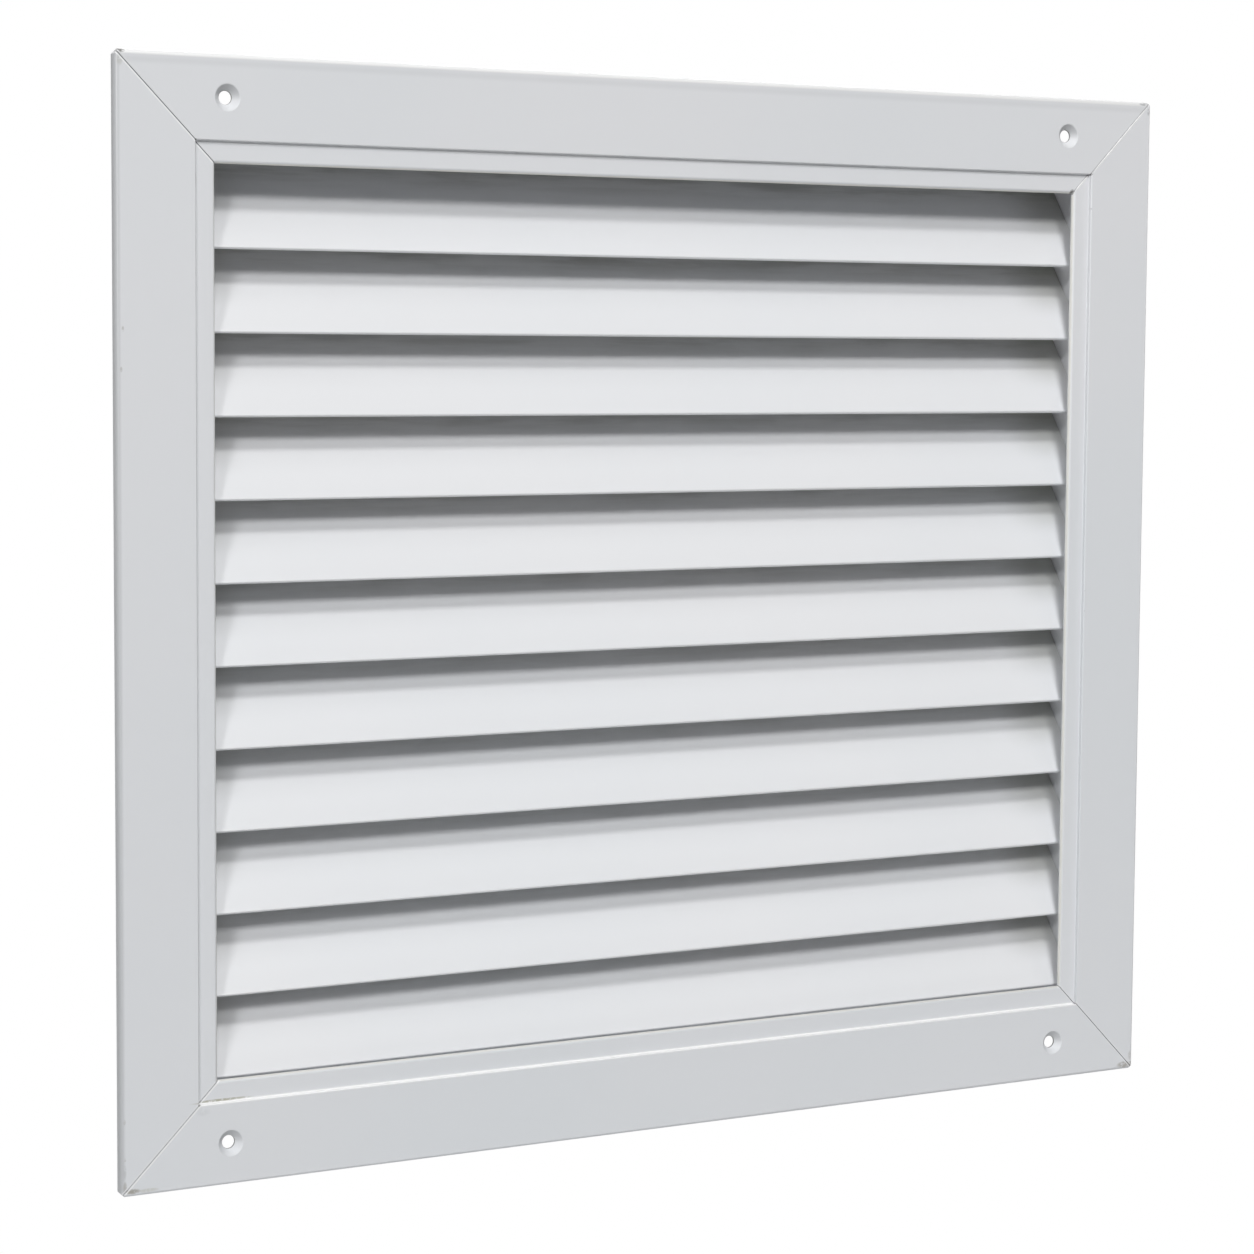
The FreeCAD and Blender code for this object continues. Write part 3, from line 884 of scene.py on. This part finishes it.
left_screws = make_screws("blade_screws_left", -1)
right_screws = make_screws("blade_screws_right", 1)
print("faces of the screws:", len(left_screws.data.polygons) + len(right_screws.data.polygons))

# %% [markdown]
# ## The bridged mitre
#
# The top right mitre looks like a bright hairline where the others are dark. Its two members
# touch so closely that the melted powder ran across the joint and set as a low bead. The bead
# is a thin thread of mesh laid along the mitre, first on the flange and then on the recessed
# band. Its section is a low arch, and it narrows to nothing at both ends. Its coat is whiter
# than the coat round it, a painted highlight along the mitre.

# %% Shape the bead
BEAD_HALF_WIDTH = 0.42 * MM
BEAD_HEIGHT = 0.18 * MM
BEAD_SINK = 0.06 * MM
BEAD_STEP = 1.0 * MM
BEAD_ARCH = ((-1.0, 0.0), (-0.6, 0.7), (0.0, 1.0), (0.6, 0.7), (1.0, 0.0))
BEAD_TAPER = 6.0
BEAD_TIP = 0.02

# how much the bead swells and shrinks, and how fast it does so from step to step
BEAD_WAVES = ((0.15, 2.3), (0.10, 5.1))


def bead_swell(index, share):
    """The bead's size at a step, as a share of its full size."""
    fade = min(1.0, BEAD_TAPER * share, BEAD_TAPER * (1.0 - share)) + BEAD_TIP
    return fade * (1.0 + sum(size * math.sin(rate * index) for size, rate in BEAD_WAVES))


def add_bead(mesh, first_inset, last_inset, face_y):
    """One stretch of bead along the top right mitre, between two insets."""
    count = round((last_inset - first_inset) / BEAD_STEP)
    across = Vector((1.0, 0.0, -1.0)).normalized()
    rings = []
    for index in range(count + 1):
        share = index / count
        inset = first_inset + (last_inset - first_inset) * share
        swell = bead_swell(index, share)
        middle = Vector((half_width - inset, face_y, half_height - inset))
        ring = []
        for side, rise in BEAD_ARCH:
            lift = rise * (BEAD_HEIGHT + BEAD_SINK) * swell - BEAD_SINK
            place = middle + across * (side * BEAD_HALF_WIDTH * swell) - Vector((0.0, lift, 0.0))
            ring.append(mesh.verts.new(place))
        rings.append(ring)
    mesh.faces.new(list(reversed(rings[0])))
    for lower, upper in zip(rings, rings[1:]):
        ring_of_faces(mesh, lower, upper)
    mesh.faces.new(rings[-1])


print("bead", 2 * BEAD_HALF_WIDTH / MM, "mm wide and", BEAD_HEIGHT / MM, "mm high")

# %% Lay the bead
# the bead's coat is whiter than the frame's, a painted highlight along the mitre
BEAD_HIGHLIGHT_WHITE = (0.95, 0.95, 0.95, 1.0)
BAND_RECESS = 1.6 * MM
BEAD_FROM_EDGE = 1.6 * MM
BEAD_FROM_STEP = 0.6 * MM
BEAD_FROM_THROAT = 1.0 * MM


def make_bead_coat():
    material, tree, shader = new_material("bead_coat")
    place = add(tree, "ShaderNodeTexCoord").outputs["Object"]
    coat_surface(tree, shader, place)
    colour = coat_colour(tree, place, BEAD_HIGHLIGHT_WHITE, COAT_WHITE)
    tree.links.new(colour, shader.inputs["Base Color"])
    return material


def make_bead():
    mesh = bmesh.new()
    add_bead(mesh, BEAD_FROM_EDGE, step_inset - BEAD_FROM_STEP, front_y)
    band_y = front_y + BAND_RECESS
    add_bead(mesh, step_inset + BEAD_FROM_STEP, throat_inset - BEAD_FROM_THROAT, band_y)
    bmesh.ops.recalc_face_normals(mesh, faces=mesh.faces)
    data = bpy.data.meshes.new("coat_bead")
    mesh.to_mesh(data)
    mesh.free()
    piece = bpy.data.objects.new("coat_bead", data)
    bpy.context.scene.collection.objects.link(piece)
    data.materials.append(make_bead_coat())
    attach(piece, "root")
    return piece


bead = make_bead()
print("bead faces:", len(bead.data.polygons))

# %% [markdown]
# ## Floor and background
#
# The grille hangs in front of plain white. The floor is pale and well below it, so its shadow
# doesn't show in this view, and it fades into the white background at its rim. The fade is in
# the material, and only for the rays that see the background directly, so it adds no light to
# the grille.

# %% Make the floor
FLOOR_DROP = 0.55
FLOOR_RADIUS = 1.5
FLOOR_PALE = (0.86, 0.86, 0.86, 1.0)
FLOOR_ROUGHNESS = 0.8
RIM_FROM = 0.5 * FLOOR_RADIUS
RIM_TO = 0.95 * FLOOR_RADIUS
WHITE = (1.0, 1.0, 1.0, 1.0)


def seen_directly(tree):
    """1 for the rays that show the background itself: camera, mirror and glass rays."""
    path = add(tree, "ShaderNodeLightPath")
    shown = calc(tree, "MAXIMUM", path.outputs["Is Camera Ray"], path.outputs["Is Glossy Ray"])
    return calc(tree, "MAXIMUM", shown, path.outputs["Is Transmission Ray"])


def make_floor_coat():
    """Pale in the middle, and as white as the background at the rim."""
    material, tree, shader = new_material("floor_pale")
    shader.inputs["Base Color"].default_value = FLOOR_PALE
    shader.inputs["Roughness"].default_value = FLOOR_ROUGHNESS
    place = add(tree, "ShaderNodeTexCoord").outputs["Object"]
    radius = add(tree, "ShaderNodeVectorMath", {"operation": "LENGTH"}, Vector=place)
    rim = soft_step(tree, radius.outputs["Value"], RIM_FROM, RIM_TO)
    glow = add(tree, "ShaderNodeEmission", Color=WHITE, Strength=1.0)
    mix = add(tree, "ShaderNodeMixShader")
    plug(tree, mix.inputs["Fac"], times(tree, rim, seen_directly(tree)))
    tree.links.new(shader.outputs["BSDF"], mix.inputs[1])
    tree.links.new(glow.outputs["Emission"], mix.inputs[2])
    tree.links.new(mix.outputs["Shader"], tree.nodes["Material Output"].inputs["Surface"])
    return material


def make_floor():
    place = (0.0, 0.0, -half_height - FLOOR_DROP)
    bpy.ops.mesh.primitive_circle_add(
        vertices=96, radius=FLOOR_RADIUS, fill_type="NGON", location=place
    )
    floor = bpy.context.object
    floor.name = "floor"
    floor.data.materials.append(make_floor_coat())
    return floor


floor = make_floor()
print(floor.name, FLOOR_DROP, "m below the grille")

# %% [markdown]
# ## Light
#
# The grille is lit as in a small studio, and the shadows under the blades say where the lamps
# stand. Each of them has two edges, so there are two heights of light. Two low lamps, one nearly
# in front and one further to the left, throw the short dark shadow deep under each blade. A
# round panel hangs higher up and throws the long pale one, and the left lamp also draws a
# slanting shadow over the blades' left ends. A weak lamp high on the right softens them all.
#
# Two lamps behind the grille light its back and the duct side of the blades. The sky looks white
# only where a ray sees it directly, and adds an even touch of light.

# %% Light values
SKY_LEVEL = 0.05
LAMP_DISTANCE = 3.0
PANEL_SIZE = 0.48

# azimuth in degrees to the left of straight in front, elevation, spread, strength
FAR_LAMPS = {
    "front_lamp": (20.0, 28.8, 12.0, 0.80),
    "left_lamp": (40.0, 24.1, 9.0, 0.74),
    "top_lamp": (-30.0, 60.0, 25.0, 0.25),
    "back_left_lamp": (150.0, 35.0, 25.0, 0.63),
    "back_right_lamp": (-150.0, 35.0, 25.0, 0.63),
}

# azimuth and elevation as above, and power in watts
PANELS = {"high_panel": (20.0, 46.7, 30.0)}
print("lamps:", len(FAR_LAMPS) + len(PANELS))


# %% Set up the light
def make_sky():
    world = bpy.data.worlds.new("sky")
    bpy.context.scene.world = world
    world.use_nodes = True
    tree = world.node_tree
    background = tree.nodes["Background"]
    level = soft_step(tree, seen_directly(tree), 0.0, 1.0, SKY_LEVEL, 1.0)
    background.inputs["Color"].default_value = WHITE
    tree.links.new(level, background.inputs["Strength"])


def aim_lamp(data, azimuth, elevation):
    """Hangs a lamp in a direction from the grille's middle and turns it to face there."""
    lamp = bpy.data.objects.new(data.name, data)
    bpy.context.scene.collection.objects.link(lamp)
    left = math.radians(azimuth)
    up = math.radians(elevation)
    towards = Vector(
        (-math.sin(left) * math.cos(up), -math.cos(left) * math.cos(up), math.sin(up))
    )
    lamp.location = towards * LAMP_DISTANCE
    lamp.rotation_euler = towards.to_track_quat("Z", "Y").to_euler()
    return lamp


def make_lamps():
    for name, (azimuth, elevation, spread, strength) in FAR_LAMPS.items():
        sun = bpy.data.lights.new(name, "SUN")
        sun.energy = strength
        sun.angle = math.radians(spread)
        aim_lamp(sun, azimuth, elevation)
    for name, (azimuth, elevation, watts) in PANELS.items():
        panel = bpy.data.lights.new(name, "AREA")
        panel.shape = "DISK"
        panel.size = PANEL_SIZE
        panel.energy = watts
        aim_lamp(panel, azimuth, elevation).visible_camera = False


make_sky()
make_lamps()
bpy.context.scene.view_settings.view_transform = "Standard"
print("sky level", SKY_LEVEL)
